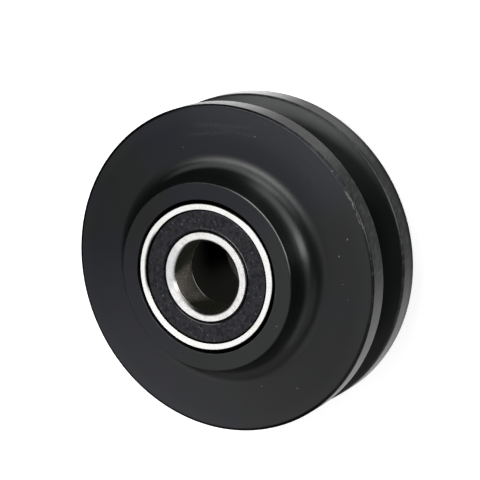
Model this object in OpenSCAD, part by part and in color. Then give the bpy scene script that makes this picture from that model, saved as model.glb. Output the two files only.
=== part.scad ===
// V groove wheel: one moulded wheel that turns on two sealed ball bearings.
// The axle line is Z, the wheel lies on one end of its hub, and the origin is the wheel's centre.
// "front" is the +Z end and "back" is the -Z end. Millimetres.

/* [Wheel] */
// Diameter over the two flanges
wheel_d = 70; // [66:0.5:84]
// Width over the two flanges
rim_w = 20; // [18:0.25:22]
// Radius on the outside edge of each flange
rim_round = 0.6; // [0.3:0.05:1]
// Diameter of the hub
hub_d = 40; // [38:0.5:43]
// Length of the hub, end to end
hub_len = 34; // [32:0.5:40]
// Chamfer on the outside edge of each hub end
hub_chamfer = 0.25; // [0.1:0.05:0.6]
// Radius of the cove where the hub runs out into the flange
cove_r = 4.8; // [3:0.1:5.5]

/* [Groove] */
// Width of the groove's mouth, before its edges are rounded
groove_w = 10; // [9:0.1:11.5]
// Angle between the groove's two walls
groove_angle = 40; // [34:1:50]
// Radius of the groove's root
groove_root_r = 2; // [1:0.1:3]
// Radius on each edge of the groove's mouth
groove_lip_r = 0.7; // [0.3:0.05:0.9]

/* [Bearing seats] */
// Depth of the bearings' faces below the ends of the hub
bearing_inset = 0.1; // [0.05:0.05:1]
// Gap between a pressed-in outer ring and its seat
seat_gap = 0.01; // [0.005:0.005:0.05]
// Chamfer at the mouth of each seat
seat_chamfer = 0.35; // [0.1:0.05:0.6]
// Diameter of the bore between the two seats, whose ends stop the outer rings
shoulder_d = 28; // [26:0.5:29]

/* [Bearing rings] */
// Bore of the inner ring
bearing_bore = 15; // [14:0.25:16]
// Outside diameter of the outer ring
bearing_od = 32; // [31:0.25:34]
// Width of the bearing
bearing_w = 8; // [8:0.25:10]
// Chamfer on the bearing's outside edges and on its bore
ring_chamfer = 0.5; // [0.2:0.05:0.8]
// Wall of the outer ring at its face
outer_face_w = 1.75; // [1.5:0.05:2]
// Wall of the inner ring at its face
inner_face_w = 1.9; // [1.6:0.05:2.1]
// Distance from the ball circle to the lands on both sides of a raceway
land_offset = 1.5; // [1.3:0.05:1.7]

/* [Balls and cage] */
// Diameter of a ball
ball_d = 4.7625; // [4.4:0.0125:4.9]
// Raceway radius as a share of the ball's diameter
race_share = 0.52; // [0.51:0.005:0.53]
// Gap between a ball and the bottom of each raceway
ball_play = 0.04; // [0.02:0.01:0.1]
// Thickness of the cage's sheet
cage_t = 0.4; // [0.3:0.05:0.5]
// Width of the cage's band, across the ball circle
cage_band_w = 2.1; // [1.8:0.1:2.3]
// Gap between a ball and its pocket
pocket_play = 0.1; // [0.05:0.01:0.15]
// Diameter of a cage rivet's shank
rivet_d = 0.8; // [0.6:0.05:0.9]
// Diameter of a rivet's head
rivet_head_d = 1.3; // [1.1:0.05:1.4]
// Height of a rivet's head
rivet_head_h = 0.3; // [0.2:0.05:0.4]
// Gap round a rivet's shank in its holes
rivet_gap = 0.01; // [0.005:0.005:0.03]

/* [Seals] */
// Depth of a seal's face below the bearing's face
seal_inset = 0.25; // [0.15:0.05:0.35]
// Rubber over the face of the seal's steel core
seal_skin = 0.35; // [0.3:0.05:0.45]
// Thickness of the steel core
core_t = 0.25; // [0.2:0.05:0.3]
// Depth of the seal's seat below the bearing's face
seal_seat_depth = 1.15; // [1.1:0.05:1.25]
// Width of the edge that holds the seal's bead down in its seat
bead_lip_w = 0.5; // [0.45:0.05:0.55]
// How far the seat is cut in behind that edge
bead_undercut = 0.35; // [0.25:0.05:0.4]
// Gap between the seal's bead and its seat
bead_gap = 0.02; // [0.01:0.01:0.04]
// Width of the rubber bead outside the core
bead_w = 0.5; // [0.4:0.05:0.6]
// Width of the sloping edge between the seal's flat face and its seat
seal_edge_w = 0.4; // [0.3:0.05:0.6]
// Distance from the inner ring to the core, which the flexible lip spans
lip_w = 0.75; // [0.65:0.05:0.9]
// Gap between the lip and the inner ring
lip_gap = 0.05; // [0.03:0.01:0.1]
// Thickness of the lip
lip_t = 0.3; // [0.2:0.05:0.35]
// Height of the ridge that runs round the root of the lip
ridge_h = 0.08; // [0.04:0.02:0.12]
// Width of that ridge
ridge_w = 0.3; // [0.2:0.05:0.4]

/* [Hidden] */
$fn = 96;
ball_fn = 48;
rivet_fn = 24;
// How far a cutting shape runs past the face it cuts
over = 1;

// One node below for each ball of a bearing
ball_count = 9;
ball_step = 360 / ball_count;

// Sides of the wheel
front = 1;
back = -1;
// Sides of one bearing: near is the open end of the hub, far is the wheel's middle
near = 1;
far = -1;

wheel_r = wheel_d / 2;
hub_r = hub_d / 2;
bore_r = bearing_bore / 2;
ring_r = bearing_od / 2;
ball_r = ball_d / 2;
seat_r = ring_r + seat_gap;
face_z = bearing_w / 2;
bearing_z = hub_len / 2 - bearing_inset - face_z;
shoulder_z = bearing_z - face_z;

// Half the groove's angle, and the root circle that touches both walls
wall_a = groove_angle / 2;
root_depth = (groove_w / 2 - groove_root_r / cos(wall_a)) / tan(wall_a);
root_r = wheel_r - root_depth;

// Ball circle, raceways and the lands beside them
pitch_r = (bore_r + ring_r) / 2;
race_r = ball_d * race_share;
race_shift = race_r - ball_r - ball_play;
outer_land_r = pitch_r + land_offset;
inner_land_r = pitch_r - land_offset;
outer_face_r = ring_r - outer_face_w;
inner_face_r = bore_r + inner_face_w;

// Heights in the seal's seat, from the bearing's middle
seat_floor_z = face_z - seal_seat_depth;
bead_top_z = face_z - bead_lip_w;
undercut_r = outer_face_r + bead_undercut;
seal_top_z = face_z - seal_inset;
core_top_z = seal_top_z - seal_skin;
core_low_z = core_top_z - core_t;
bead_r = undercut_r - bead_gap;
core_outer_r = bead_r - bead_w;
core_inner_r = inner_face_r + lip_w;
lip_r = inner_face_r + lip_gap;

pocket_r = ball_r + pocket_play;

// Puts a bearing's piece in the wheel, with its near side towards the open end of the hub
module in_bearing(end) {
    translate([0, 0, end * bearing_z]) rotate([end == back ? 180 : 0, 0, 0]) children();
}

// Turns a piece of one half of a bearing to the half that it belongs to
module in_half(half) {
    rotate([half == far ? 180 : 0, 0, 0]) children();
}

module both_halves() {
    for (half = [near, far]) scale([1, half]) children();
}

/* Wheel */

// Section of one end of the hub, with its chamfered edge
module hub_section() {
    end_z = hub_len / 2;
    polygon([
        [0, 0],
        [hub_r, 0],
        [hub_r, end_z - hub_chamfer],
        [hub_r - hub_chamfer, end_z],
        [0, end_z],
    ]);
}

// Cove between the hub and the flange
module cove_section() {
    translate([hub_r, rim_w / 2]) difference() {
        translate([-over, -over]) square(cove_r + over);
        translate([cove_r, cove_r]) circle(r = cove_r);
    }
}

// Section of one flange, with its outside edge rounded
module flange_section() {
    edge = [wheel_r - rim_round, rim_w / 2 - rim_round];
    square([edge[0], rim_w / 2]);
    square([wheel_r, edge[1]]);
    translate(edge) circle(r = rim_round);
}

// Section of one half of the groove, from its middle to one wall
module groove_section() {
    wall = [cos(wall_a), sin(wall_a)];
    mouth = [wheel_r, groove_w / 2];
    touch = [root_r - groove_root_r * sin(wall_a), groove_root_r * cos(wall_a)];
    beyond = mouth + over * wall;
    lip = [wheel_r - groove_lip_r, mouth[1] + groove_lip_r * (1 - wall[1]) / wall[0]];
    translate([root_r, 0]) circle(r = groove_root_r);
    difference() {
        union() {
            polygon([[touch[0], -over], touch, beyond, [beyond[0], -over]]);
            // corner that the lip's rounding takes away
            polygon([
                lip + groove_lip_r * [wall[1], -wall[0]],
                mouth + over * wall,
                [wheel_r + over, lip[1]],
                lip,
            ]);
        }
        translate(lip) circle(r = groove_lip_r);
    }
}

// Section of the bore between the bearings, and of one seat with its chamfered mouth
module seat_section() {
    end_z = hub_len / 2;
    square([shoulder_d / 2, end_z + over]);
    translate([0, shoulder_z]) square([seat_r, end_z]);
    polygon([
        [0, end_z - seat_chamfer],
        [seat_r, end_z - seat_chamfer],
        [seat_r + seat_chamfer + over, end_z + over],
        [0, end_z + over],
    ]);
}

module wheel() {
    color("#2e3032") rotate_extrude() difference() {
        both_halves() {
            hub_section();
            flange_section();
            cove_section();
        }
        both_halves() {
            groove_section();
            seat_section();
        }
    }
}

/* Rings */

// Cuts the raceway, and turns its middle towards the ball circle by race_shift
module race_cut(toward) {
    translate([pitch_r - toward * race_shift, 0]) circle(r = race_r);
}

module outer_ring(end) {
    color("#dcdcd8") in_bearing(end) rotate_extrude() difference() {
        translate([outer_land_r, -face_z]) square([ring_r - outer_land_r, bearing_w]);
        race_cut(1);
        both_halves() {
            // seat of the seal, cut in behind its lip
            polygon([
                [outer_land_r - over, seat_floor_z],
                [undercut_r, seat_floor_z],
                [undercut_r, bead_top_z],
                [outer_face_r, bead_top_z + bead_undercut],
                [outer_face_r, face_z + over],
                [outer_land_r - over, face_z + over],
            ]);
            edge_cut(ring_r, -1);
        }
    }
}

module inner_ring(end) {
    color("#dcdcd8") in_bearing(end) rotate_extrude() difference() {
        translate([bore_r, -face_z]) square([inner_land_r - bore_r, bearing_w]);
        race_cut(-1);
        both_halves() {
            // narrow end that the seal's lip runs on
            translate([inner_face_r, seat_floor_z]) square([inner_land_r, bearing_w]);
            edge_cut(bore_r, 1);
        }
    }
}

// Chamfer on the edge of a ring: into is 1 on a bore and -1 on an outside
module edge_cut(edge_r, into) {
    past = ring_chamfer + over;
    polygon([
        [edge_r + into * ring_chamfer, face_z],
        [edge_r - into * over, face_z - past],
        [edge_r - into * over, face_z + over],
        [edge_r + into * past, face_z + over],
    ]);
}

/* Balls and cage */

module on_ball(i) {
    rotate([0, 0, i * ball_step]) translate([pitch_r, 0, 0]) children();
}

module ball(end, number) {
    color("#e6e6e6") in_bearing(end) on_ball(number - 1) sphere(d = ball_d, $fn = ball_fn);
}

// Pressed half of the cage: a flat band, domed over each ball and riveted between them
module cage_half(end, half) {
    color("#b9b4a8") in_bearing(end) in_half(half) difference() {
        intersection() {
            union() {
                cylinder(r = ring_r, h = cage_t);
                for (i = [0 : ball_count - 1])
                    on_ball(i) sphere(r = pocket_r + cage_t, $fn = ball_fn);
            }
            difference() {
                cylinder(r = pitch_r + cage_band_w / 2, h = face_z);
                translate([0, 0, -over]) cylinder(r = pitch_r - cage_band_w / 2, h = face_z + 2 * over);
            }
        }
        for (i = [0 : ball_count - 1]) {
            on_ball(i) sphere(r = pocket_r, $fn = ball_fn);
            on_ball(i + 1 / 2) translate([0, 0, -over])
                cylinder(r = rivet_d / 2 + rivet_gap, h = cage_t + 2 * over, $fn = rivet_fn);
        }
    }
}

// Rivets that join the two halves of a cage, headed at both ends
module cage_rivets(end) {
    color("#9d988c") in_bearing(end) for (i = [0 : ball_count - 1]) on_ball(i + 1 / 2) {
        translate([0, 0, -cage_t]) cylinder(d = rivet_d, h = 2 * cage_t, $fn = rivet_fn);
        for (half = [near, far]) in_half(half) translate([0, 0, cage_t])
            cylinder(d1 = rivet_head_d, d2 = rivet_d, h = rivet_head_h, $fn = rivet_fn);
    }
}

/* Seals */

// Rubber of a seal: a skin over the core's face, a bead in the outer ring and a lip at the inner ring
module seal(end, half) {
    ridge_r = core_inner_r;
    color("#26262a") in_bearing(end) in_half(half) rotate_extrude() polygon([
        [core_inner_r, core_low_z],
        [lip_r + lip_t / 2, core_low_z],
        [lip_r, core_low_z + lip_t / 2],
        [lip_r + lip_t / 2, core_low_z + lip_t],
        [ridge_r - ridge_w, core_low_z + lip_t],
        [ridge_r - ridge_w / 2, seal_top_z + ridge_h],
        [ridge_r, seal_top_z + ridge_h],
        [ridge_r + ridge_w / 2, seal_top_z],
        [outer_face_r - seal_edge_w, seal_top_z],
        [outer_face_r - bead_gap, bead_top_z],
        [bead_r, bead_top_z - bead_gap],
        [bead_r, seat_floor_z + bead_gap],
        [core_outer_r, seat_floor_z + bead_gap],
        [core_outer_r, core_top_z],
        [core_inner_r, core_top_z],
    ]);
}

// Steel washer that stiffens the seal, bare on the side of the balls
module seal_core(end, half) {
    color("#a8a8a4") in_bearing(end) in_half(half) rotate_extrude()
        translate([core_inner_r, core_low_z]) square([core_outer_r - core_inner_r, core_t]);
}

/* Every node */

wheel();

outer_ring(front);  // front_outer_ring
inner_ring(front);  // front_inner_ring
ball(front, 1);  // front_ball_1
ball(front, 2);  // front_ball_2
ball(front, 3);  // front_ball_3
ball(front, 4);  // front_ball_4
ball(front, 5);  // front_ball_5
ball(front, 6);  // front_ball_6
ball(front, 7);  // front_ball_7
ball(front, 8);  // front_ball_8
ball(front, 9);  // front_ball_9
cage_half(front, near);  // front_cage_near_half
cage_half(front, far);  // front_cage_far_half
cage_rivets(front);  // front_cage_rivets
seal(front, near);  // front_near_seal
seal_core(front, near);  // front_near_seal_core
seal(front, far);  // front_far_seal
seal_core(front, far);  // front_far_seal_core

outer_ring(back);  // back_outer_ring
inner_ring(back);  // back_inner_ring
ball(back, 1);  // back_ball_1
ball(back, 2);  // back_ball_2
ball(back, 3);  // back_ball_3
ball(back, 4);  // back_ball_4
ball(back, 5);  // back_ball_5
ball(back, 6);  // back_ball_6
ball(back, 7);  // back_ball_7
ball(back, 8);  // back_ball_8
ball(back, 9);  // back_ball_9
cage_half(back, near);  // back_cage_near_half
cage_half(back, far);  // back_cage_far_half
cage_rivets(back);  // back_cage_rivets
seal(back, near);  // back_near_seal
seal_core(back, near);  // back_near_seal_core
seal(back, far);  // back_far_seal
seal_core(back, far);  // back_far_seal_core
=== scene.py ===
"""V groove wheel on two sealed ball bearings.

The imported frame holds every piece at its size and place. This file turns the wheel, the rings and the seals
again with finer edges, gives every piece its finish, and sets up the stage. Lengths are in metres. The axle
line is Z, the wheel lies on the back end of its hub, and the origin is the wheel's centre.
"""

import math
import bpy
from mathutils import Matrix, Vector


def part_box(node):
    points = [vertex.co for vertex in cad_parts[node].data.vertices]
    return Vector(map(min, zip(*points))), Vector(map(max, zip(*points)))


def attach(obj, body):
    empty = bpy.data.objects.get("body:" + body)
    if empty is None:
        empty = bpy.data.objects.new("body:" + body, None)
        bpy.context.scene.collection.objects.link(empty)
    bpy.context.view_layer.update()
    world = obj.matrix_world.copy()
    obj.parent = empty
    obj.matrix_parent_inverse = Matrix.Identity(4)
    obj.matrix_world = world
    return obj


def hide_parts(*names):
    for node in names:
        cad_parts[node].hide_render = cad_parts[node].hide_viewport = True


bl_info = {
    "name": "V groove wheel",
    "version": (1, 0, 0),
    "blender": (4, 5, 0),
    "location": "3D View > Sidebar > V wheel",
    "description": "Builds a V groove wheel with its two sealed ball bearings, their finishes and a stage",
    "category": "Object",
}

import bpy
from bpy.props import FloatProperty, FloatVectorProperty, IntProperty, PointerProperty
from mathutils import Quaternion, Vector

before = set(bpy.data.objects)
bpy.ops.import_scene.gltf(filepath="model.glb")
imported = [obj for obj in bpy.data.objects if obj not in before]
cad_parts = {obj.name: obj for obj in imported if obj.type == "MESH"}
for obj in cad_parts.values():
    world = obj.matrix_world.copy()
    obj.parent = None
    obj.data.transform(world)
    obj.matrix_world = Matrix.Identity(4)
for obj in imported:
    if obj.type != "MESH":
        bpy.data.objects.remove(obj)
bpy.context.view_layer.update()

ENDS = {"front": 1, "back": -1}
BALLS_PER_BEARING = 9

# Sizes that the frame gives
HUB_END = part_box("wheel")[1].z
WHEEL_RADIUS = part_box("wheel")[1].x
RING_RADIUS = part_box("front_outer_ring")[1].x
BEARING_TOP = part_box("front_outer_ring")[1].z
BEARING_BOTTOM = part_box("front_outer_ring")[0].z
BEARING_MIDDLE = (BEARING_TOP + BEARING_BOTTOM) / 2
LAND_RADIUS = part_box("front_inner_ring")[1].x
FACE = (BEARING_TOP - BEARING_BOTTOM) / 2
BEAD_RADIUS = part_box("front_near_seal")[1].x
BALL_RADIUS = (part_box("front_ball_1")[1].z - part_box("front_ball_1")[0].z) / 2
BALL_CIRCLE = (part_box("front_ball_1")[1].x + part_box("front_ball_1")[0].x) / 2
CORE_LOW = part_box("front_near_seal_core")[0].z - BEARING_MIDDLE
CORE_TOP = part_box("front_near_seal_core")[1].z - BEARING_MIDDLE
CORE_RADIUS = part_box("front_near_seal_core")[1].x

SMOOTH_BELOW = math.radians(32)  # edges that turn by less are shaded smooth
RIDGE_FOOT = 1.05  # distance from the lip's root to the ridge's inner foot, over the ridge's width


def length(name, description, default):
    """A length that a user can change, in metres."""
    return FloatProperty(name=name, description=description, default=default, unit="LENGTH", precision=5)


def colour(name, description, default):
    """A colour that a user can change."""
    return FloatVectorProperty(name=name, description=description, default=default, subtype="COLOR", size=3)


class WheelSettings(bpy.types.PropertyGroup):
    """Sizes and colour of the moulded wheel."""

    segments: IntProperty(name="Segments", description="Steps round the wheel", default=288)
    rim_width: length("Rim width", "Width over the two flanges", 0.020)
    rim_round: length("Rim round", "Radius on the outside edge of each flange", 0.0006)
    hub_radius: length("Hub radius", "Radius of the hub", 0.020)
    hub_round: length("Hub round", "Radius on the edge of each hub end", 0.00025)
    cove: length("Cove", "Radius of the cove between hub and flange", 0.0048)
    groove_width: length("Groove width", "Width of the groove's mouth", 0.010)
    groove_angle: FloatProperty(
        name="Groove angle", description="Angle between the groove's walls",
        default=math.radians(40), subtype="ANGLE",
    )
    groove_root: length("Groove root", "Radius of the groove's root", 0.002)
    groove_lip: length("Groove lip", "Radius on the edges of the groove's mouth", 0.0007)
    seat_gap: length("Seat gap", "Gap between an outer ring and its seat", 0.00001)
    seat_chamfer: length("Seat chamfer", "Chamfer at the mouth of each seat", 0.00035)
    shoulder_radius: length("Shoulder radius", "Radius of the bore between the seats", 0.014)
    plastic: colour("Plastic", "Colour of the plastic", (0.0030, 0.0036, 0.0085))
    # colour of rubbed places, and also of the painted sheen and painted cove highlights
    scuff_and_sheen: colour("Scuffed plastic", "Colour of the plastic where it is rubbed", (0.085, 0.088, 0.092))


class BearingSettings(bpy.types.PropertyGroup):
    """Sizes and colours of the two bearings."""

    segments: IntProperty(name="Segments", description="Steps round each ring and seal", default=224)
    bore_radius: length("Bore radius", "Radius of the inner ring's bore", 0.0075)
    chamfer: length("Chamfer", "Chamfer on the rings' edges", 0.0005)
    edge: length("Edge", "Rounding on the rings' finer edges", 0.00006)
    outer_face: length("Outer face", "Wall of the outer ring at its face", 0.00175)
    inner_face: length("Inner face", "Wall of the inner ring at its face", 0.0019)
    land: length("Land", "Distance from the ball circle to the lands", 0.0015)
    race_share: FloatProperty(name="Race share", description="Raceway radius over ball size", default=0.52)
    ball_play: length("Ball play", "Gap between a ball and its raceways", 0.00004)
    seat_depth: length("Seat depth", "Depth of the seal's seat below the face", 0.00115)
    bead_lip: length("Bead lip", "Width of the edge that holds the seal's bead", 0.0005)
    undercut: length("Undercut", "How far the seat is cut in behind that edge", 0.00035)
    bead_gap: length("Bead gap", "Gap between the bead and its seat", 0.00002)
    seal_inset: length("Seal inset", "Depth of the seal's face below the bearing's face", 0.00025)
    seal_slope: length("Seal slope", "Width of the seal's sloping edge", 0.0004)
    lip_width: length("Lip width", "Distance from the inner ring to the seal's core", 0.00075)
    lip_gap: length("Lip gap", "Gap between the lip and the inner ring", 0.00005)
    lip_thick: length("Lip thickness", "Thickness of the lip", 0.0003)
    ridge_high: length("Ridge height", "Height of the ridge round the root of the lip", 0.00008)
    ridge_wide: length("Ridge width", "Width of that ridge", 0.0003)
    steel: colour("Steel", "Colour of the ground rings", (0.97, 0.97, 0.96))
    rubber: colour("Rubber", "Colour of the seals", (0.0020, 0.0023, 0.0060))


class StageSettings(bpy.types.PropertyGroup):
    """Camera and floor."""

    elevation: FloatProperty(
        name="Elevation", description="Height of the camera, as an angle",
        default=math.radians(58.54), subtype="ANGLE",
    )
    roll: FloatProperty(
        name="Roll", description="Turn of the camera about its own line of sight",
        default=math.radians(-113.27), subtype="ANGLE",
    )
    distance: length("Distance", "Distance from the camera to the wheel's centre", 0.4512)
    aim: FloatVectorProperty(
        name="Aim", description="Point that the camera looks at",
        default=(0.0042, -0.00077, -0.00045), size=3,
    )
    lens: FloatProperty(name="Lens", description="Focal length in mm, on a 36 mm sensor", default=158.87)
    floor_size: length("Floor size", "Side of the square floor", 6.0)
    floor: colour("Floor", "Colour of the floor", (0.93, 0.93, 0.93))


# Turned pieces


def arc(centre, radius, start, end, steps):
    """Points of an arc in the (radius, height) plane, from one angle to another, in degrees."""
    turns = [math.radians(start + (end - start) * i / steps) for i in range(steps + 1)]
    return [(centre[0] + radius * math.cos(t), centre[1] + radius * math.sin(t)) for t in turns]


def mirrored(half):
    """Closes an outline that is given by its upper half, from one crossing of the middle to the other."""
    below = [(r, -z) for r, z in reversed(half) if z > 1e-9]
    return half + below


def held_edges(outline, margin=0.00004):
    """Adds a point near both ends of every long straight, so that smooth shading leaves flat faces flat."""
    held = []
    for (r0, z0), (r1, z1) in zip(outline, outline[1:] + outline[:1]):
        held.append((r0, z0))
        run = math.hypot(r1 - r0, z1 - z0)
        if run > 8 * margin:
            for share in (margin / run, 1 - margin / run):
                held.append((r0 + (r1 - r0) * share, z0 + (z1 - z0) * share))
    return held


def deselect():
    """Leaves object mode with nothing selected."""
    if bpy.context.object and bpy.context.object.mode != "OBJECT":
        bpy.ops.object.mode_set(mode="OBJECT")
    bpy.ops.object.select_all(action="DESELECT")


def turn_piece(name, outline, segments):
    """Draws a ring out along a closed outline of (radius, height) points, as on a lathe, and closes it."""
    deselect()
    outline = held_edges(outline)
    first = outline[0]
    bpy.ops.mesh.primitive_circle_add(vertices=segments, radius=first[0], location=(0, 0, 0))
    piece = bpy.context.object
    piece.name = piece.data.name = name
    bpy.ops.object.mode_set(mode="EDIT")
    bpy.ops.mesh.select_all(action="SELECT")
    bpy.ops.transform.translate(value=(0, 0, first[1]))
    for (r0, z0), (r1, z1) in zip(outline, outline[1:] + outline[:1]):
        bpy.ops.mesh.extrude_edges_move(TRANSFORM_OT_translate={"value": (0, 0, z1 - z0)})
        bpy.ops.transform.resize(value=(r1 / r0, r1 / r0, 1), center_override=(0, 0, z1))
    bpy.ops.mesh.select_all(action="SELECT")
    bpy.ops.mesh.remove_doubles(threshold=0.000002)
    bpy.ops.mesh.normals_make_consistent(inside=False)
    bpy.ops.object.mode_set(mode="OBJECT")
    bpy.ops.object.shade_smooth_by_angle(angle=SMOOTH_BELOW)
    return piece


def copy_to(piece, name, flip, rise):
    """A copy of a piece with its own mesh, turned over if flip is true and then raised."""
    deselect()
    piece.select_set(True)
    bpy.context.view_layer.objects.active = piece
    bpy.ops.object.duplicate()
    copy = bpy.context.object
    copy.name = copy.data.name = name
    bpy.ops.object.mode_set(mode="EDIT")
    bpy.ops.mesh.select_all(action="SELECT")
    if flip:
        bpy.ops.transform.rotate(value=math.pi, orient_axis="X", center_override=(0, 0, 0))
    bpy.ops.transform.translate(value=(0, 0, rise))
    bpy.ops.object.mode_set(mode="OBJECT")
    return copy


def install(piece, node, body, material):
    """Puts a finished piece in place of its CAD node."""
    piece.data.materials.clear()
    piece.data.materials.append(material)
    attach(piece, body)
    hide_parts(node)


def wheel_outline(s):
    """Outline of the wheel's section: groove, flange, cove, hub, seat and shoulder."""
    wall = s.groove_angle / 2
    tilt = math.degrees(wall)
    root_depth = (s.groove_width / 2 - s.groove_root / math.cos(wall)) / math.tan(wall)
    root = (WHEEL_RADIUS - root_depth, 0)
    lip = (
        WHEEL_RADIUS - s.groove_lip,
        s.groove_width / 2 + s.groove_lip * (1 - math.sin(wall)) / math.cos(wall),
    )
    flange = s.rim_width / 2
    seat = RING_RADIUS + s.seat_gap
    half = arc(root, s.groove_root, 180, 90 + tilt, 12)
    half += arc(lip, s.groove_lip, -90 + tilt, 0, 8)
    half += arc((WHEEL_RADIUS - s.rim_round, flange - s.rim_round), s.rim_round, 0, 90, 12)
    half += arc((s.hub_radius + s.cove, flange + s.cove), s.cove, 270, 180, 28)
    half += arc((s.hub_radius - s.hub_round, HUB_END - s.hub_round), s.hub_round, 0, 90, 8)
    half += [
        (seat + s.seat_chamfer, HUB_END),
        (seat, HUB_END - s.seat_chamfer),
        (seat, BEARING_BOTTOM),
        (s.shoulder_radius, BEARING_BOTTOM),
        (s.shoulder_radius, 0),
    ]
    return mirrored(half)


class VWHEEL_OT_wheel(bpy.types.Operator):
    """Turn the wheel: hub, two flanges, V groove and seats"""

    bl_idname = "vwheel.wheel"
    bl_label = "Wheel"

    def execute(self, context):
        s = context.scene.v_wheel
        piece = turn_piece("v_wheel", wheel_outline(s), s.segments)
        install(piece, "wheel", "wheel", plastic_material(s))
        return {"FINISHED"}


def race_arc(b, toward):
    """Raceway in a land: toward is 1 on the outer ring and -1 on the inner ring."""
    radius = 2 * BALL_RADIUS * b.race_share
    middle = BALL_CIRCLE - toward * (radius - BALL_RADIUS - b.ball_play)
    reach = BALL_CIRCLE + toward * b.land - middle
    spread = math.degrees(math.acos(toward * reach / radius))
    facing = 0 if toward > 0 else 180
    return arc((middle, 0), radius, facing, facing + toward * spread, 14)


def outer_ring_outline(b):
    """Section of the outer ring: raceway, land, seal seat, face and outside."""
    face_radius = RING_RADIUS - b.outer_face
    floor = FACE - b.seat_depth
    bead = FACE - b.bead_lip
    deep = face_radius + b.undercut
    half = race_arc(b, 1)
    half += [
        (BALL_CIRCLE + b.land, floor),
        (deep, floor),
        (deep, bead),
        (face_radius, bead + b.undercut),
    ]
    half += arc((face_radius + b.edge, FACE - b.edge), b.edge, 180, 90, 4)
    half += arc((RING_RADIUS - b.chamfer, FACE - b.edge), b.edge, 90, 45, 3)
    half += [(RING_RADIUS, FACE - b.chamfer - b.edge), (RING_RADIUS, 0)]
    return mirrored(half)


def inner_ring_outline(b):
    """Section of the inner ring: raceway, land, narrow end, face and bore."""
    face_radius = b.bore_radius + b.inner_face
    floor = FACE - b.seat_depth
    half = race_arc(b, -1)
    half += [(LAND_RADIUS, floor), (face_radius, floor)]
    half += arc((face_radius - b.edge, FACE - b.edge), b.edge, 0, 90, 4)
    half += arc((b.bore_radius + b.chamfer, FACE - b.edge), b.edge, 90, 135, 3)
    half += [(b.bore_radius, FACE - b.chamfer - b.edge), (b.bore_radius, 0)]
    return mirrored(half)


class VWHEEL_OT_rings(bpy.types.Operator):
    """Turn the outer and inner rings of both bearings"""

    bl_idname = "vwheel.rings"
    bl_label = "Bearing rings"

    def execute(self, context):
        b = context.scene.v_bearing
        steel = ring_material(b)
        outer = turn_piece("outer_ring", outer_ring_outline(b), b.segments)
        inner = turn_piece("inner_ring", inner_ring_outline(b), b.segments)
        kinds = ((outer, "outer_ring", "wheel"), (inner, "inner_ring", "inner_rings"))
        for end, side in ENDS.items():
            for pattern, kind, body in kinds:
                ring = copy_to(pattern, f"{end}_turned_{kind}", side < 0, side * BEARING_MIDDLE)
                install(ring, f"{end}_{kind}", body, steel)
        for pattern in (outer, inner):
            bpy.data.objects.remove(pattern)
        return {"FINISHED"}


def lip_root(b):
    """Radius at which the seal's lip meets its core, where the ridge stands."""
    return b.bore_radius + b.inner_face + b.lip_width


def seal_outline(b):
    """Section of a seal's rubber: lip, ridge, flat face, sloping edge and bead."""
    face_radius = RING_RADIUS - b.outer_face
    core_inner = lip_root(b)
    lip = b.bore_radius + b.inner_face + b.lip_gap
    top = FACE - b.seal_inset
    bead_top = FACE - b.bead_lip
    floor = FACE - b.seat_depth
    half_lip = b.lip_thick / 2
    ridge = (core_inner - b.ridge_wide / 4, top + b.ridge_high - b.ridge_wide / 4)
    return [
        (core_inner, CORE_LOW),
        (lip + half_lip, CORE_LOW),
        *arc((lip + half_lip, CORE_LOW + half_lip), half_lip, 250, 110, 6),
        (core_inner - RIDGE_FOOT * b.ridge_wide, CORE_LOW + b.lip_thick),
        *arc(ridge, b.ridge_wide / 4, 170, 30, 8),
        (core_inner + b.ridge_wide / 2, top),
        (face_radius - b.seal_slope - b.edge, top),
        (face_radius - b.seal_slope + b.edge, top - b.edge),
        (face_radius - b.bead_gap, bead_top),
        (BEAD_RADIUS, bead_top - b.bead_gap),
        (BEAD_RADIUS, floor + b.bead_gap),
        (CORE_RADIUS, floor + b.bead_gap),
        (CORE_RADIUS, CORE_TOP),
        (core_inner, CORE_TOP),
    ]


class VWHEEL_OT_seals(bpy.types.Operator):
    """Turn the four rubber seals"""

    bl_idname = "vwheel.seals"
    bl_label = "Seals"

    def execute(self, context):
        b = context.scene.v_bearing
        rubber = rubber_material(b)
        pattern = turn_piece("seal", seal_outline(b), b.segments)
        for end, side in ENDS.items():
            for half, facing in (("near", 1), ("far", -1)):
                flip = side * facing < 0
                seal = copy_to(pattern, f"{end}_turned_{half}_seal", flip, side * BEARING_MIDDLE)
                install(seal, f"{end}_{half}_seal", "wheel", rubber)
        bpy.data.objects.remove(pattern)
        return {"FINISHED"}


class VWHEEL_OT_inside(bpy.types.Operator):
    """Finish the balls, cages, rivets and seal cores"""

    bl_idname = "vwheel.inside"
    bl_label = "Balls, cages and cores"

    def execute(self, context):
        ball = polished_material()
        sheet = sheet_material("cage_sheet", (0.42, 0.40, 0.36), 0.42)
        rivet = sheet_material("rivet_steel", (0.34, 0.32, 0.29), 0.5)
        core = sheet_material("core_sheet", (0.45, 0.45, 0.44), 0.38)
        for end in ENDS:
            finish_node(f"{end}_cage_near_half", sheet)
            finish_node(f"{end}_cage_far_half", sheet)
            finish_node(f"{end}_cage_rivets", rivet)
            finish_node(f"{end}_near_seal_core", core)
            finish_node(f"{end}_far_seal_core", core)
            for number in range(1, BALLS_PER_BEARING + 1):
                finish_node(f"{end}_ball_{number}", ball)
        return {"FINISHED"}


def finish_node(name, material):
    """Gives a CAD node its finish and leaves its shape alone."""
    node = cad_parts[name]
    node.data.materials.clear()
    node.data.materials.append(material)


# Shader nodes


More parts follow.
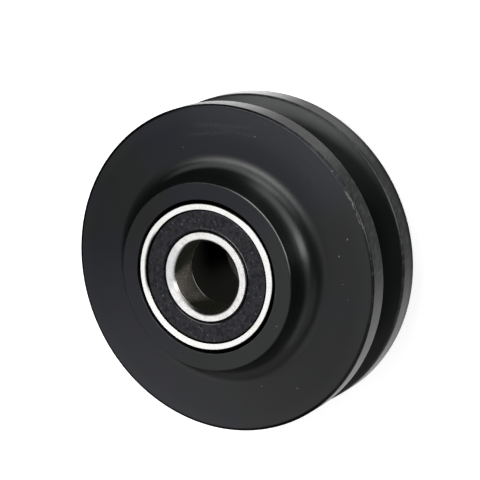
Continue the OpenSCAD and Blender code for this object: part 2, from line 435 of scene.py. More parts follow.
class Graph:
    """Adds nodes to a tree, and takes either a socket or a plain value for every input."""

    def __init__(self, tree):
        self.tree = tree

    def add(self, kind, settings=None, **inputs):
        """A node of that kind. Inputs are named as their sockets, with _ for a space."""
        node = self.tree.nodes.new(kind)
        for key, value in (settings or {}).items():
            setattr(node, key, value)
        for key, value in inputs.items():
            self.feed(node.inputs[key.replace("_", " ")], value)
        return node

    def feed(self, socket, value):
        """Links a socket to an input, or sets a plain value on it."""
        if isinstance(value, bpy.types.NodeSocket):
            self.tree.links.new(value, socket)
        else:
            socket.default_value = value

    def maths(self, operation, *values, clamp=False):
        """One step of arithmetic, by its name in the Math node."""
        node = self.add("ShaderNodeMath", {"operation": operation, "use_clamp": clamp})
        for socket, value in zip(node.inputs, values):
            self.feed(socket, value)
        return node.outputs[0]

    def chain(self, operation, total, *others):
        """The same step of arithmetic along a row of values."""
        for value in others:
            total = self.maths(operation, total, value)
        return total

    def plus(self, *values):
        return self.chain("ADD", *values)

    def times(self, *values):
        return self.chain("MULTIPLY", *values)

    def most(self, *values):
        return self.chain("MAXIMUM", *values)

    def less(self, value, taken):
        return self.maths("SUBTRACT", value, taken)

    def over(self, value, divisor):
        return self.maths("DIVIDE", value, divisor)

    def size(self, value):
        return self.maths("ABSOLUTE", value)

    def rest(self, share, clamp=False):
        """What a share leaves of 1."""
        return self.maths("SUBTRACT", 1.0, share, clamp=clamp)

    def slope(self, first, second):
        """Length over two sides at right angles."""
        return self.maths("SQRT", self.plus(self.times(first, first), self.times(second, second)))

    def range(self, value, low, high, to_low=0.0, to_high=1.0):
        """Smooth step from low to high."""
        node = self.add(
            "ShaderNodeMapRange", {"interpolation_type": "SMOOTHSTEP"},
            Value=value, From_Min=low, From_Max=high, To_Min=to_low, To_Max=to_high,
        )
        return node.outputs["Result"]

    def blend(self, share, first, second):
        """Colour from first to second by share."""
        node = self.add("ShaderNodeMix", {"data_type": "RGBA"})
        self.feed(node.inputs[0], share)
        self.feed(node.inputs[6], first)
        self.feed(node.inputs[7], second)
        return node.outputs[2]

    def noise(self, vector, scale, detail=2.0, rough=0.5, dimensions="3D"):
        """Soft noise in space, or along one value if dimensions is 1D."""
        place = "W" if dimensions == "1D" else "Vector"
        node = self.add(
            "ShaderNodeTexNoise", {"noise_dimensions": dimensions},
            Scale=scale, Detail=detail, Roughness=rough,
        )
        self.feed(node.inputs[place], vector)
        return node.outputs["Fac"]

    def group(self, tree, **inputs):
        """Outputs of a shared group with its own inputs."""
        return self.add("ShaderNodeGroup", {"node_tree": tree}, **inputs).outputs

    def mask(self, tree, **inputs):
        """Mask of a shared group with its own inputs."""
        return self.group(tree, **inputs)["Mask"]

    def toward(self, turn, narrow, fade):
        """Part of the way round whose middle is at turn, in degrees, from the one_side group."""
        return self.mask(one_side(), Toward=math.radians(turn), Narrow=narrow, Fade=fade)


def new_group(name, inputs, outputs):
    """An empty node group with float inputs, given as name: default, and float outputs."""
    tree = bpy.data.node_groups.new(name, "ShaderNodeTree")
    for socket, default in inputs.items():
        made = tree.interface.new_socket(socket, in_out="INPUT", socket_type="NodeSocketFloat")
        made.default_value = default
    for socket in outputs:
        tree.interface.new_socket(socket, in_out="OUTPUT", socket_type="NodeSocketFloat")
    graph = Graph(tree)
    return graph, graph.add("NodeGroupInput").outputs, graph.add("NodeGroupOutput").inputs


def shared(build):
    """Makes a group once, and gives the same one to every material that asks for it."""
    made = {}

    def get():
        if "tree" not in made:
            made["tree"] = build()
        return made["tree"]

    return get


def object_place(graph):
    """Object coordinates: the vector, distance from the axle line, share of a turn about it, and height."""
    vector = graph.add("ShaderNodeTexCoord").outputs["Object"]
    parts = graph.add("ShaderNodeSeparateXYZ", Vector=vector).outputs
    across = graph.slope(parts["X"], parts["Y"])
    turn = graph.over(graph.maths("ARCTAN2", parts["Y"], parts["X"]), math.tau)
    return vector, across, turn, parts["Z"]


@shared
def turned_lines():
    """Fine rings left by a cutting tool, which run round the axle line on faces and on walls alike."""
    graph, given, out = new_group("Turned lines", {"Pitch": 0.0003, "Waver": 0.3}, ["Height"])
    vector, across, _, height = object_place(graph)
    sweep = graph.over(graph.plus(across, height), given["Pitch"])
    drift = graph.times(graph.noise(vector, 40.0, 1.0), given["Waver"])
    graph.feed(out["Height"], graph.noise(graph.plus(sweep, drift), 1.0, 3.0, 0.6, "1D"))
    return graph.tree


@shared
def edge_wear_and_light():
    """Patchy band round one edge, at a given distance from the axle line and a given height either side:
    rubbing, a nick, and painted light and shade.
    """
    graph, given, out = new_group(
        "Edge wear and light", {"Radius": 0.035, "Height": 0.01, "Width": 0.0006, "Patchiness": 0.6}, ["Mask"]
    )
    vector, across, _, height = object_place(graph)
    away = graph.slope(graph.less(across, given["Radius"]), graph.less(graph.size(height), given["Height"]))
    near = graph.rest(graph.over(away, given["Width"]), clamp=True)
    patches = graph.range(graph.noise(vector, 420.0, 4.0, 0.65), 0.42, 0.62)
    kept = graph.plus(graph.rest(given["Patchiness"]), graph.times(patches, given["Patchiness"]))
    graph.feed(out["Mask"], graph.times(near, kept))
    return graph.tree


@shared
def specks():
    """Scattered specks: a share of the cells holds one, and their sizes differ."""
    graph, given, out = new_group("Specks", {"Spacing": 0.002, "Size": 0.12, "Share": 0.3}, ["Mask"])
    vector = graph.add("ShaderNodeTexCoord").outputs["Object"]
    cells = graph.add("ShaderNodeTexVoronoi", Vector=vector, Scale=graph.over(1.0, given["Spacing"])).outputs
    luck = graph.add("ShaderNodeSeparateColor", Color=cells["Color"]).outputs
    reach = graph.times(given["Size"], graph.plus(0.4, luck["Green"]))
    inside = graph.maths("LESS_THAN", cells["Distance"], reach)
    chosen = graph.maths("LESS_THAN", luck["Red"], given["Share"])
    graph.feed(out["Mask"], graph.times(inside, chosen))
    return graph.tree


@shared
def scratch():
    """One straight mark on a level face at the front: its middle, its turn, and how long and wide it is."""
    graph, given, out = new_group(
        "Scratch", {"X": 0.0, "Y": 0.0, "Turn": 0.0, "Long": 0.004, "Wide": 0.00008, "Ragged": 0.5}, ["Mask"]
    )
    vector, _, _, height = object_place(graph)
    parts = graph.add("ShaderNodeSeparateXYZ", Vector=vector).outputs
    x, y = graph.less(parts["X"], given["X"]), graph.less(parts["Y"], given["Y"])
    sine, cosine = graph.maths("SINE", given["Turn"]), graph.maths("COSINE", given["Turn"])
    along = graph.plus(graph.times(x, cosine), graph.times(y, sine))
    aside = graph.less(graph.times(y, cosine), graph.times(x, sine))
    ragged = graph.less(graph.noise(vector, 900.0, 3.0, 0.7), 0.5)
    aside = graph.plus(aside, graph.times(ragged, graph.times(given["Wide"], 2.0)))
    along = graph.over(graph.size(along), graph.times(given["Long"], 0.5))
    ends = graph.rest(graph.maths("POWER", along, 4.0), clamp=True)
    line = graph.rest(graph.over(graph.size(aside), given["Wide"]), clamp=True)
    broken = graph.range(graph.noise(vector, 1600.0, 2.0), 0.38, 0.6)
    kept = graph.rest(graph.times(given["Ragged"], graph.rest(broken)))
    front = graph.maths("GREATER_THAN", height, 0.002)
    graph.feed(out["Mask"], graph.times(graph.times(ends, line), graph.times(kept, front)))
    return graph.tree


@shared
def ring_marks():
    """Short rubbed marks that run round the axle line."""
    graph, given, out = new_group("Ring marks", {"Along": 60.0, "Across": 9000.0, "Share": 0.3}, ["Mask"])
    _, across, turn, height = object_place(graph)
    stretched = graph.add(
        "ShaderNodeCombineXYZ", X=graph.times(turn, given["Along"]),
        Y=graph.times(across, given["Across"]), Z=graph.times(height, given["Across"]),
    )
    marks = graph.noise(stretched.outputs["Vector"], 1.0, 4.0, 0.6)
    edge = graph.less(0.75, graph.times(given["Share"], 0.4))
    graph.feed(out["Mask"], graph.range(marks, edge, graph.plus(edge, 0.1)))
    return graph.tree


@shared
def chatter():
    """Fine marks that a cutting tool leaves across a rim: Pitch is their spacing on the rim."""
    graph, given, out = new_group("Chatter", {"Pitch": 0.0004, "Radius": 0.035, "Slant": 0.4}, ["Height"])
    _, _, turn, height = object_place(graph)
    run = graph.over(graph.times(turn, math.tau), graph.over(given["Pitch"], given["Radius"]))
    rise = graph.over(height, given["Pitch"])
    slanted = graph.plus(run, graph.times(rise, given["Slant"]))
    stretched = graph.add("ShaderNodeCombineXYZ", X=slanted, Y=graph.times(rise, 0.35))
    graph.feed(out["Height"], graph.noise(stretched.outputs["Vector"], 1.0, 2.0, 0.6))
    return graph.tree


@shared
def band():
    """Soft-edged ring between two distances from the axle line."""
    graph, given, out = new_group("Band", {"Inner": 0.014, "Outer": 0.015, "Soft": 0.0001}, ["Mask"])
    _, across, _, _ = object_place(graph)
    inside = graph.range(across, given["Inner"], graph.plus(given["Inner"], given["Soft"]))
    beyond = graph.range(across, graph.less(given["Outer"], given["Soft"]), given["Outer"])
    graph.feed(out["Mask"], graph.times(inside, graph.rest(beyond)))
    return graph.tree


@shared
def one_side():
    """Part of the way round, centred on the turn Toward. It fades in from the cosine Narrow, over Fade."""
    graph, given, out = new_group("One side", {"Toward": 0.0, "Narrow": 0.5, "Fade": 0.35}, ["Mask"])
    _, _, turn, _ = object_place(graph)
    facing = graph.maths("COSINE", graph.less(graph.times(turn, math.tau), given["Toward"]))
    graph.feed(out["Mask"], graph.range(facing, given["Narrow"], graph.plus(given["Narrow"], given["Fade"])))
    return graph.tree


# Materials

BLACK = (0.0, 0.0, 0.0, 1.0)
# painted shade on the bore's chamfers, over their own darker steel, and beside the seals
CHAMFER_SHADE = (0.05, 0.05, 0.05, 1.0)
# painted highlight round the foot of each bore
BORE_FOOT_HIGHLIGHT = (1.0, 0.97, 0.95, 1.0)

# Faint light that the lamps don't give: inside the hub, in the bores and on the inner seals
HUB_GLOW = (0.0075, 0.0075, 0.0068, 1.0)
BORE_GLOW = (0.0085, 0.0085, 0.0062, 1.0)
SEAL_GLOW = (0.0078, 0.0078, 0.0070, 1.0)

# Side of the hub's inside where that light goes deepest: turn in degrees, narrowness and fade
DEEP_SIDE = (150, 0.25, 0.5)

# Dust on the front of the wheel: distance from the axle line, turn in degrees, size
DUST = (
    (0.0307, 261, 0.00016), (0.0279, 255, 0.00014), (0.0301, 317, 0.00012), (0.0346, 285, 0.00012),
    (0.0282, 243, 0.00008), (0.0295, 237, 0.00008), (0.0293, 190, 0.00012), (0.0258, 174, 0.00010),
    (0.0186, 216, 0.00012), (0.0268, 352, 0.00008),
)

# Smears and scratches on the front flange: X and Y, turn in degrees, length, width and strength
SCRATCHES = (
    (0.0270, -0.0144, 64, 0.0150, 0.00060, 0.022), (0.0243, -0.0170, 54, 0.0110, 0.00045, 0.018),
    (0.0268, -0.0108, 70, 0.0120, 0.00050, 0.022), (0.0125, -0.0300, 24, 0.0060, 0.00006, 0.05),
    (0.0100, -0.0285, 20, 0.0070, 0.00006, 0.04), (0.0060, 0.0290, 155, 0.0050, 0.00005, 0.03),
)

# Painted highlight in the coves: inner and outer radius of a band and its softness, then the turn in degrees,
# narrowness
# and fade of its side, and its strength
COVE_HIGHLIGHT = (
    (0.0216, 0.0231, 0.0007, 322, 0.62, 0.30, 0.42),
    (0.0205, 0.0218, 0.0006, 236, 0.70, 0.25, 0.16),
)


def new_material(name):
    """A material with its shader, and a graph to build the rest of it."""
    material = bpy.data.materials.new(name)
    material.use_nodes = True
    return material, Graph(material.node_tree), material.node_tree.nodes["Principled BSDF"]


def bump(graph, shader, height, distance):
    """Feeds a height, in units of distance, to the shader's normal."""
    node = graph.add("ShaderNodeBump", Height=height, Distance=distance, Strength=1.0)
    graph.feed(shader.inputs["Normal"], node.outputs["Normal"])


def plain(shader, **values):
    """Sets numbers that are the same all over on the shader's own sockets."""
    for key, value in values.items():
        shader.inputs[key.replace("_", " ")].default_value = value


def glow(graph, shader, light):
    """Feeds a painted glow of the surface's own, for places that the lamps leave too dark and for a painted
    highlight.
    """
    graph.feed(shader.inputs["Emission Color"], light)
    plain(shader, Emission_Strength=1.0)


def rgba(colour_value):
    """A colour as a socket takes it."""
    return (*colour_value, 1.0)


def rubbed_edges(graph, s, on_rim):
    """Rubbing on the groove's lips and on the rims, and a lighter band on one side of the flanges' edges and
    of the seats' mouths.
    """
    rim, groove = s.rim_width / 2, s.groove_width / 2
    flange = graph.mask(edge_wear_and_light(), Radius=WHEEL_RADIUS, Height=rim, Width=0.0009, Patchiness=0.8)
    lip = graph.mask(edge_wear_and_light(), Radius=WHEEL_RADIUS, Height=groove, Width=0.0007, Patchiness=0.7)
    marks = graph.mask(ring_marks(), Along=90.0, Across=7000.0, Share=0.35)
    mouth = graph.mask(
        edge_wear_and_light(), Radius=RING_RADIUS + s.seat_chamfer, Height=HUB_END, Width=0.00022, Patchiness=0.5
    )
    return graph.most(
        graph.times(flange, graph.toward(290, -0.35, 0.4), 0.15),
        graph.times(lip, 0.5),
        graph.times(marks, on_rim, 0.4),
        graph.times(mouth, graph.toward(165, -0.1, 0.35)),
    )


def highlight_and_marks(graph, s, hub_edge):
    """Painted highlight on part of the hub's edge, and the dust, the nick and the scratches on the front
    flange.
    """
    vector, _, _, height = object_place(graph)
    # painted highlight on one side of the hubs' edges
    bright = graph.times(hub_edge, graph.toward(285, 0.78, 0.18), 0.70)
    for reach, turn, size in DUST:
        turn = math.radians(turn)
        speck = graph.mask(
            scratch(), X=reach * math.cos(turn), Y=reach * math.sin(turn), Turn=turn + math.radians(60),
            Long=2.4 * size, Wide=size, Ragged=0.2,
        )
        bright = graph.most(bright, graph.times(speck, 0.5))
    waver = graph.times(graph.noise(vector, 800.0), 0.0014)
    nick = graph.mask(
        edge_wear_and_light(), Radius=graph.plus(WHEEL_RADIUS - 0.0010, waver), Height=s.rim_width / 2 - 0.00005,
        Width=0.00016, Patchiness=0.7,
    )
    nick = graph.times(nick, graph.toward(270, 0.991, 0.004), graph.maths("GREATER_THAN", height, 0.0))
    bright = graph.most(bright, graph.times(nick, 0.42))
    for x, y, turn, long, wide, strength in SCRATCHES:
        cut = graph.mask(scratch(), X=x, Y=y, Turn=math.radians(turn), Long=long, Wide=wide, Ragged=0.7)
        bright = graph.most(bright, graph.times(cut, strength))
    return bright


def painted_sheen_and_haze(graph, across, on_rim, hub_face, hub_edge):
    """Painted sheen on one side of the flanges' outer faces and of the hub's face and edge, painted
    highlights in the coves, and an even haze of fine rubbing near the flanges' edges.
    """
    haze = graph.times(graph.range(across, 0.0265, 0.0315), graph.toward(310, 0.7, 0.25), 0.10)
    haze = graph.plus(haze, graph.times(graph.range(across, 0.031, 0.034), 0.04))
    haze = graph.times(haze, graph.rest(on_rim))
    haze = graph.plus(haze, graph.times(hub_face, graph.toward(225, 0.1, 0.8), 0.09))
    for inner, outer, soft, turn, narrow, fade, strength in COVE_HIGHLIGHT:
        cove = graph.mask(band(), Inner=inner, Outer=outer, Soft=soft)
        haze = graph.plus(haze, graph.times(cove, graph.toward(turn, narrow, fade), strength))
    return graph.plus(haze, graph.times(hub_edge, graph.toward(105, 0.5, 0.3), 0.5))


def plastic_tint(graph, s, hub_face):
    """Warm black, with bluer patches on the flat faces of the flanges and the hub."""
    vector, across, _, height = object_place(graph)
    bluer = graph.most(graph.toward(118, 0.6, 0.3), graph.toward(325, 0.6, 0.3))
    cool = graph.range(graph.plus(graph.noise(vector, 42.0, 1.0), graph.times(bluer, 0.15)), 0.50, 0.64)
    past_cove = graph.range(across, s.hub_radius + 0.0040, s.hub_radius + 0.0048)
    on_face = graph.range(graph.size(height), s.rim_width / 2 - 0.0006, s.rim_width / 2 - 0.0002)
    cool = graph.times(cool, graph.most(graph.times(past_cove, on_face), hub_face))
    warm = tuple(part * share for part, share in zip(s.plastic, (1.05, 1.12, 0.42)))
    return graph.blend(cool, rgba(warm), rgba(s.plastic))


def plastic_shade(graph, s, on_rim, hub_edge):
    """Deep shade: the seats' mouths, low on the back rim, the front flange's edge and part of the hub's."""
    _, across, _, height = object_place(graph)
    rim = s.rim_width / 2
    mouth = graph.mask(band(), Inner=0.010, Outer=RING_RADIUS + s.seat_chamfer - 0.00002, Soft=0.00008)
    under = graph.times(graph.range(height, 0.0021 - rim, 0.0011 - rim), on_rim)
    edge = graph.range(across, WHEEL_RADIUS - 0.0008, WHEEL_RADIUS - 0.0005)
    edge = graph.times(edge, graph.range(height, rim - 0.0005, rim - 0.0003))
    edge = graph.times(edge, graph.plus(0.55, graph.times(graph.toward(94, -0.35, 0.3), 0.45)))
    edge = graph.times(edge, graph.rest(graph.times(graph.toward(264, 0.81, 0.07), 0.8)))
    return graph.most(mouth, under, edge, graph.times(hub_edge, graph.toward(335, 0.72, 0.2), 0.8))


def plastic_material(s):
    """Near black moulded and turned plastic, satin, rubbed at its edges and on the rims, with painted sheen,
    highlights, shade and glow.
    """
    material, graph, shader = new_material("wheel_plastic")
    vector, across, _, height = object_place(graph)
    plain(shader, IOR=1.46, Specular_IOR_Level=0.42)
    on_rim = graph.range(across, WHEEL_RADIUS - 0.0005, WHEEL_RADIUS - 0.0001)
    hub_face = graph.range(across, s.hub_radius - 0.0004, s.hub_radius - 0.0002, 1.0, 0.0)
    # band round both hub ends' edges: painted highlight, sheen and shade, each on its own side
    hub_edge = graph.mask(edge_wear_and_light(), Radius=s.hub_radius, Height=HUB_END, Width=0.00022, Patchiness=0.25)
    cuts = graph.group(chatter(), Pitch=0.00075, Radius=WHEEL_RADIUS, Slant=0.5)["Height"]
    cut_rim = graph.times(graph.range(cuts, 0.45, 0.7), on_rim)
    rubbed = rubbed_edges(graph, s, on_rim)

    base = plastic_tint(graph, s, hub_face)
    base = graph.blend(graph.times(rubbed, 0.40), base, rgba(s.scuff_and_sheen))
    base = graph.blend(graph.times(cut_rim, 0.36), base, rgba(s.scuff_and_sheen))
    # painted sheen and highlights, with an even rubbed haze near the flanges' edges
    base = graph.blend(painted_sheen_and_haze(graph, across, on_rim, hub_face, hub_edge), base, rgba(s.scuff_and_sheen))
    base = graph.blend(highlight_and_marks(graph, s, hub_edge), base, (0.62, 0.61, 0.60, 1.0))
    shade = plastic_shade(graph, s, on_rim, hub_edge)
    graph.feed(shader.inputs["Base Color"], graph.blend(shade, base, BLACK))
    graph.feed(shader.inputs["Metallic"], graph.times(shade, 0.85))

    # painted glow on the hub's inside between the bearings, fainter towards the back on all but one side
    inside = graph.times(graph.maths("LESS_THAN", across, RING_RADIUS - 0.0015),
                         graph.maths("LESS_THAN", graph.size(height), BEARING_BOTTOM))
    inside = graph.times(
        inside, graph.range(height, -BEARING_BOTTOM - 0.001, -0.001, graph.toward(*DEEP_SIDE), 1.0)
    )
    glow(graph, shader, graph.blend(inside, BLACK, HUB_GLOW))

    cloud = graph.noise(vector, 90.0, 4.0, 0.6)
    graph.feed(shader.inputs["Roughness"], graph.plus(
        0.27, graph.times(cloud, 0.10), graph.times(rubbed, 0.12), graph.times(cut_rim, 0.06)))
    lines = graph.group(turned_lines(), Pitch=0.00022, Waver=0.5)["Height"]
    grain = graph.noise(vector, 2600.0, 3.0, 0.6)
    relief = graph.plus(graph.times(lines, 0.45), graph.times(grain, 0.35), graph.times(cuts, on_rim, 1.6))
    bump(graph, shader, relief, 0.000012)
    return material


def ring_edges(graph, b, across):
    """Dark outer and bore chamfers with painted shade whose reach differs from side to side, and painted
    shade on the edges beside the seal.
    """
    # outer chamfer: dark steel, with painted shade whose reach differs from side to side
    start = graph.less(across, graph.times(graph.toward(85, 0.2, 0.7), 0.00034))
    start = graph.less(start, graph.times(graph.toward(268, 0.75, 0.2), 0.0002))
    outside = graph.range(start, RING_RADIUS - b.chamfer - 0.00024, RING_RADIUS - b.chamfer - 0.00006)

    seal_edge = RING_RADIUS - b.outer_face
    # painted shade on the outer ring beside the seal, on one side
    shade_by_seal_edge = graph.range(across, seal_edge, seal_edge + 0.0006, 1.0, 0.0)
    shade_by_seal_edge = graph.times(
        shade_by_seal_edge, graph.maths("GREATER_THAN", across, BALL_CIRCLE), graph.toward(54, 0.85, 0.1)
    )
    lip_edge = b.bore_radius + b.inner_face
    # painted shade round the inner ring by the lip, darkest on one side
    shade_by_lip = graph.mask(band(), Inner=lip_edge - 0.00008, Outer=LAND_RADIUS + 0.0005, Soft=0.0001)
    shade_by_lip = graph.times(shade_by_lip, graph.plus(0.25, graph.times(graph.toward(275, 0.0, 0.5), 0.75)))

    # bore chamfer: dark steel, with painted shade whose reach differs from side to side
    wide = graph.most(graph.toward(66, 0.3, 0.7), graph.times(graph.toward(268, 0.9, 0.08), 0.6))
    reach = graph.less(graph.times(wide, 0.0004), graph.times(graph.toward(172, 0.75, 0.2), 0.0002))
    inside = graph.range(graph.plus(across, reach), b.bore_radius + 0.0003, b.bore_radius + 0.0008, 1.0, 0.0)
    return outside, graph.most(shade_by_seal_edge, shade_by_lip), inside


def ring_face(graph, b, across, pits, shade_beside_seal):
    """Pale ground steel: finely mottled, greyer and more blotched on the inner ring, with painted shade
    beside the seal, on one side and by the bore.
    """
    vector = graph.add("ShaderNodeTexCoord").outputs["Object"]
    patch = graph.range(graph.noise(vector, 240.0, 2.0), 0.45, 0.65)
    face = graph.blend(patch, rgba(b.steel), (0.92, 0.91, 0.86, 1.0))
    face = graph.blend(graph.times(pits, 0.35), face, (0.62, 0.57, 0.56, 1.0))
    # painted shade beside the seal
    face = graph.blend(shade_beside_seal, face, CHAMFER_SHADE)
    inner_ring = graph.rest(graph.range(across, LAND_RADIUS, LAND_RADIUS + 0.0005))
    blotch = graph.range(graph.noise(vector, 650.0, 3.0, 0.6), 0.50, 0.66)
    face = graph.blend(graph.times(inner_ring, 0.6), face, (0.85, 0.83, 0.83, 1.0))
    face = graph.blend(graph.times(inner_ring, blotch, 0.60), face, (0.62, 0.57, 0.58, 1.0))
    # painted shade on one side of the inner ring
    shaded_side = graph.times(inner_ring, graph.toward(52, 0.80, 0.16), 0.5)
    face = graph.blend(shaded_side, face, (0.58, 0.58, 0.61, 1.0))
    # painted shade in a crescent by the bore, on one side
    shaded_crescent = graph.range(across, b.bore_radius + 0.00045, b.bore_radius + 0.00060, 1.0, 0.0)
    shaded_crescent = graph.times(graph.toward(106, 0.80, 0.15), shaded_crescent, 0.6)
    return graph.blend(shaded_crescent, face, (0.30, 0.30, 0.30, 1.0))


def bore_wall(graph, lit, foot):
    """Patchy brown and pink wall of the bore, painted lit on one side and in painted shade elsewhere, with a
    painted highlight round its foot.
    """
    vector = graph.add("ShaderNodeTexCoord").outputs["Object"]
    pink_patches = graph.range(graph.noise(vector, 330.0, 3.0, 0.6), 0.40, 0.62)
    wall = graph.blend(pink_patches, (0.58, 0.54, 0.49, 1.0), (1.0, 0.87, 0.84, 1.0))
    wall = graph.blend(lit, (0.03, 0.03, 0.022, 1.0), wall)
    return graph.blend(graph.times(foot, 0.8), wall, BORE_FOOT_HIGHLIGHT)


def ring_material(b):
    """Ground bearing steel, near white, with a fine mottle, darker chamfers and a browner bore, and painted
    shade, highlight and glow.
    """
    material, graph, shader = new_material("bearing_steel")
    vector, across, _, height = object_place(graph)
    # dark chamfers with painted shade, and painted shade beside the seals
    outer_chamfer_and_shade, shade_beside_seal, bore_chamfer_and_shade = ring_edges(graph, b, across)
    pits = graph.range(graph.noise(vector, 2600.0, 2.0, 0.6), 0.58, 0.74)
    bore = graph.rest(graph.range(across, b.bore_radius + 0.00001, b.bore_radius + 0.00006))
    depth = graph.less(graph.size(height), BEARING_BOTTOM + b.chamfer)
    lit = graph.toward(90, graph.range(depth, 0.0, 0.0065, 0.74, 0.84), 0.19)
    # painted highlight round the bore's foot
    foot = graph.rest(graph.range(depth, 0.00014, 0.00036))

    base = graph.blend(bore_chamfer_and_shade, ring_face(graph, b, across, pits, shade_beside_seal), CHAMFER_SHADE)
    base = graph.blend(bore, base, bore_wall(graph, lit, foot))
    # outer chamfer near black: dark steel with painted shade
    graph.feed(shader.inputs["Base Color"], graph.blend(outer_chamfer_and_shade, base, (0.004, 0.004, 0.004, 1.0)))
    graph.feed(shader.inputs["Metallic"], graph.most(
        outer_chamfer_and_shade, graph.times(bore, graph.rest(graph.times(lit, 0.5))),
        graph.times(bore_chamfer_and_shade, 0.9), graph.times(shade_beside_seal, 0.9), 0.30,
    ))
    graph.feed(shader.inputs["Roughness"], graph.plus(0.26, graph.times(pits, 0.15)))

    # painted glow on the foot's highlight, on the bores and on the inner rings' ends
    foot_highlight_glow = graph.times(foot, bore, graph.toward(98, 0.90, 0.08), 0.24)
    inner_end = graph.times(graph.maths("LESS_THAN", across, LAND_RADIUS),
                            graph.maths("LESS_THAN", graph.size(height), BEARING_BOTTOM + 0.0001))
    faint = graph.blend(graph.most(bore, inner_end), BLACK, BORE_GLOW)
    glow(graph, shader, graph.blend(foot_highlight_glow, faint, BORE_FOOT_HIGHLIGHT))
    bump(graph, shader, graph.group(turned_lines(), Pitch=0.00006, Waver=0.2)["Height"], 0.000001)
    return material


def rubber_material(b):
    """Matt moulded rubber with a fine speckle, in painted deep shade where it meets the rings, with a painted
    ridge highlight and faint glow.
    """
    material, graph, shader = new_material("seal_rubber")
    vector, across, _, height = object_place(graph)
    plain(shader, IOR=1.45)
    grit = graph.mask(specks(), Spacing=0.00056, Size=0.42, Share=0.24)
    patches = graph.range(graph.noise(vector, 330.0, 2.0), 0.45, 0.62)
    grit = graph.times(grit, graph.plus(0.35, graph.times(patches, 0.65)))
    base = graph.blend(graph.times(grit, 0.6), rgba(b.rubber), (0.085, 0.085, 0.105, 1.0))

    ridge = lip_root(b)
    # painted highlight on the ridge's crest, on two sides
    crest = graph.mask(band(), Inner=ridge - 0.00016, Outer=ridge + 0.00004, Soft=0.00006)
    shiny = graph.most(graph.toward(280, 0.80, 0.18), graph.times(graph.toward(140, 0.80, 0.13), 0.95))
    base = graph.blend(graph.times(crest, shiny, 0.8), base, (0.17, 0.17, 0.18, 1.0))

    slope = RING_RADIUS - b.outer_face - b.seal_slope
    lip_end = ridge - RIDGE_FOOT * b.ridge_wide
    shade = graph.most(
        graph.range(across, slope - 0.0001, slope + 0.0001),
        graph.rest(graph.range(across, lip_end - 0.0001, lip_end + 0.00008)),
    )
    graph.feed(shader.inputs["Base Color"], graph.blend(shade, base, BLACK))
    blotch = graph.range(graph.noise(vector, 1300.0, 3.0, 0.6), 0.46, 0.60)
    graph.feed(shader.inputs["Metallic"], graph.most(graph.times(shade, 0.9), graph.times(blotch, 0.42)))
    grain = graph.noise(vector, 3600.0, 3.0, 0.6)
    graph.feed(shader.inputs["Roughness"], graph.plus(0.30, graph.times(grain, 0.2)))
    bump(graph, shader, grain, 0.000025)

    # faint painted glow on the inner seals' faces, on one side
    inner_face = graph.maths("LESS_THAN", graph.size(height), BEARING_BOTTOM + 0.001)
    inner_face = graph.times(inner_face, graph.toward(*DEEP_SIDE))
    glow(graph, shader, graph.blend(inner_face, BLACK, SEAL_GLOW))
    return material


def polished_material():
    """Polished balls."""
    material, graph, shader = new_material("ball_steel")
    vector = graph.add("ShaderNodeTexCoord").outputs["Object"]
    plain(shader, Metallic=1.0, Base_Color=(0.8, 0.8, 0.8, 1.0))
    graph.feed(shader.inputs["Roughness"], graph.range(graph.noise(vector, 700.0), 0.3, 0.7, 0.05, 0.12))
    return material


def sheet_material(name, base, rough):
    """Pressed steel sheet, dull, with a faint mottle."""
    material, graph, shader = new_material(name)
    vector = graph.add("ShaderNodeTexCoord").outputs["Object"]
    plain(shader, Metallic=1.0)
    mottle = graph.noise(vector, 1500.0, 3.0)
    darker = tuple(0.75 * part for part in base)
    graph.feed(shader.inputs["Base Color"], graph.blend(mottle, rgba(darker), rgba(base)))
    graph.feed(shader.inputs["Roughness"], graph.plus(rough - 0.08, graph.times(mottle, 0.16)))
    return material


# Stage

FLOOR_GLOW = 0.6  # how brightly the camera sees the floor shine, over its own colour

# Soft lights: turn round the axle line and height, both in degrees, then distance, width, height and
# brightness, where 1 is as bright as the floor looks
LIGHTS = {
    "key_above": (0, 72, 0.50, 0.17, 0.17, 8.6),
    "key_side": (22, 56, 0.50, 0.17, 0.17, 6.2),
    "corner_high": (327, 42, 0.50, 0.18, 0.16, 4.2),
    "front_right": (314, 16, 0.50, 0.23, 0.27, 2.8),
    "front": (286, 16, 0.50, 0.22, 0.27, 3.0),
    "front_left": (261, 17, 0.50, 0.15, 0.27, 8.0),
    "left": (205, 38, 0.50, 0.26, 0.24, 0.85),
    "left_low": (190, 14, 0.50, 0.30, 0.20, 0.7),
    "rear_left": (150, 24, 0.50, 0.60, 0.34, 0.55),
    "rear_above": (75, 70, 0.50, 0.18, 0.18, 1.25),
    "near_left": (150, 62, 0.24, 0.10, 0.10, 1.3),
    "near_rear": (105, 45, 0.24, 0.10, 0.10, 1.6),
}

# Light that the floor throws up at the wheel: X and Y of each pool's middle, its radius and its brightness
POOLS = {
    "under": (0.030, 0.0, 0.020, 2.2),
    "corner": (0.040, -0.030, 0.026, 0.8),
    "front": (0.0, -0.055, 0.034, 0.4),
    "left": (-0.050, -0.016, 0.034, 1.05),
    "rear": (-0.020, 0.055, 0.040, 0.3),
}


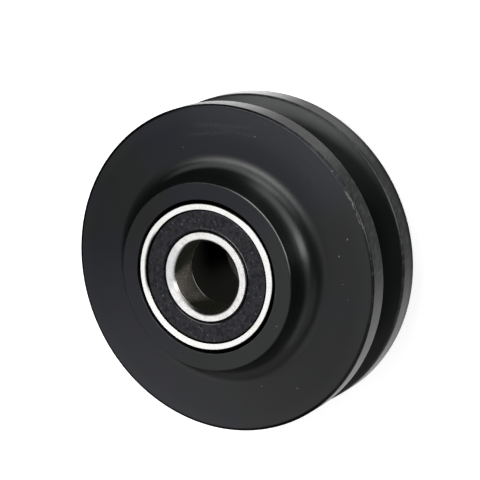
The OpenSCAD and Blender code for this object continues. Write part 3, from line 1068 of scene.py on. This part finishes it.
def floor_material(colour_value):
    """Pale sheet for the camera, and a few soft pools of light for the wheel above it."""
    material, graph, shader = new_material("floor_sheet")
    vector = graph.add("ShaderNodeTexCoord").outputs["Object"]
    parts = graph.add("ShaderNodeSeparateXYZ", Vector=vector).outputs
    thrown = 0.0
    for x, y, radius, brightness in POOLS.values():
        distance = graph.slope(graph.less(parts["X"], x), graph.less(parts["Y"], y))
        thrown = graph.plus(thrown, graph.range(distance, 0.6 * radius, 1.3 * radius, brightness, 0.0))
    seen = graph.add("ShaderNodeLightPath").outputs["Is Camera Ray"]
    graph.feed(shader.inputs["Base Color"], graph.blend(seen, BLACK, rgba(colour_value)))
    plain(shader, Roughness=0.9, Specular_IOR_Level=0.1, Emission_Color=(1, 1, 1, 1))
    graph.feed(shader.inputs["Emission Strength"], graph.plus(
        graph.times(seen, FLOOR_GLOW), graph.times(thrown, graph.rest(seen))))
    return material


def add_floor(g):
    """A square sheet under the back end of the hub."""
    deselect()
    bpy.ops.mesh.primitive_plane_add(size=g.floor_size, location=(0, 0, 0))
    floor = bpy.context.object
    floor.name = "floor"
    bpy.ops.object.mode_set(mode="EDIT")
    bpy.ops.transform.translate(value=(0, 0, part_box("wheel")[0].z))
    bpy.ops.object.mode_set(mode="OBJECT")
    floor.data.materials.append(floor_material(g.floor))


def add_soft_light(name, turn, rise, distance, width, height, brightness):
    """A soft box that faces the wheel, out of the camera's sight."""
    turn, rise = math.radians(turn), math.radians(rise)
    away = Vector((math.cos(rise) * math.cos(turn), math.cos(rise) * math.sin(turn), math.sin(rise)))
    bpy.ops.object.light_add(type="AREA", location=away * distance)
    light = bpy.context.object
    light.name = name
    light.data.shape = "RECTANGLE"
    light.data.size = width
    light.data.size_y = height
    light.data.energy = brightness * math.pi * width * height
    light.rotation_euler = (-away).to_track_quat("-Z", "Y").to_euler()
    light.visible_camera = False


def add_surround(scene):
    """White past the floor's end for the camera, and black, so no light, for all else."""
    world = bpy.data.worlds.new("white_surround")
    world.use_nodes = True
    around = Graph(world.node_tree)
    seen = around.add("ShaderNodeLightPath").outputs["Is Camera Ray"]
    shown = around.blend(seen, BLACK, (1.0, 1.0, 1.0, 1.0))
    around.feed(world.node_tree.nodes["Background"].inputs["Color"], shown)
    scene.world = world
    scene.view_settings.view_transform = "Standard"


def add_camera(g, scene):
    """A camera with a long lens, high on the -Y side and rolled about its own line of sight."""
    view = Vector((0, -math.cos(g.elevation), math.sin(g.elevation)))
    bpy.ops.object.camera_add(location=view * g.distance)
    camera = bpy.context.object
    camera.name = "camera"
    look = (Vector(g.aim) - camera.location).to_track_quat("-Z", "Y")
    camera.rotation_euler = (look @ Quaternion((0, 0, 1), g.roll)).to_euler()
    camera.data.lens = g.lens
    camera.data.sensor_width = 36
    camera.data.clip_start = 0.01
    scene.camera = camera


class VWHEEL_OT_stage(bpy.types.Operator):
    """Set up the floor, the lights, the white surround and the camera"""

    bl_idname = "vwheel.stage"
    bl_label = "Stage"

    def execute(self, context):
        g = context.scene.v_stage
        add_floor(g)
        for name, light in LIGHTS.items():
            add_soft_light(name, *light)
        add_surround(context.scene)
        add_camera(g, context.scene)
        return {"FINISHED"}


class VWHEEL_PT_panel(bpy.types.Panel):
    """Lists the operators in the 3D view's sidebar"""

    bl_label = "V groove wheel"
    bl_idname = "VWHEEL_PT_panel"
    bl_space_type = "VIEW_3D"
    bl_region_type = "UI"
    bl_category = "V wheel"

    def draw(self, context):
        for operator in OPERATORS:
            self.layout.operator(operator.bl_idname)


SETTINGS = {"v_wheel": WheelSettings, "v_bearing": BearingSettings, "v_stage": StageSettings}
OPERATORS = (VWHEEL_OT_stage, VWHEEL_OT_wheel, VWHEEL_OT_rings, VWHEEL_OT_seals, VWHEEL_OT_inside)


def register():
    for kind in (*SETTINGS.values(), *OPERATORS, VWHEEL_PT_panel):
        bpy.utils.register_class(kind)
    for name, kind in SETTINGS.items():
        setattr(bpy.types.Scene, name, PointerProperty(type=kind))


def unregister():
    for name in SETTINGS:
        delattr(bpy.types.Scene, name)
    for kind in (VWHEEL_PT_panel, *reversed(OPERATORS), *SETTINGS.values()):
        bpy.utils.unregister_class(kind)


def main():
    register()
    bpy.ops.vwheel.stage()
    bpy.ops.vwheel.wheel()
    bpy.ops.vwheel.rings()
    bpy.ops.vwheel.seals()
    bpy.ops.vwheel.inside()


if __name__ == "__main__":
    main()
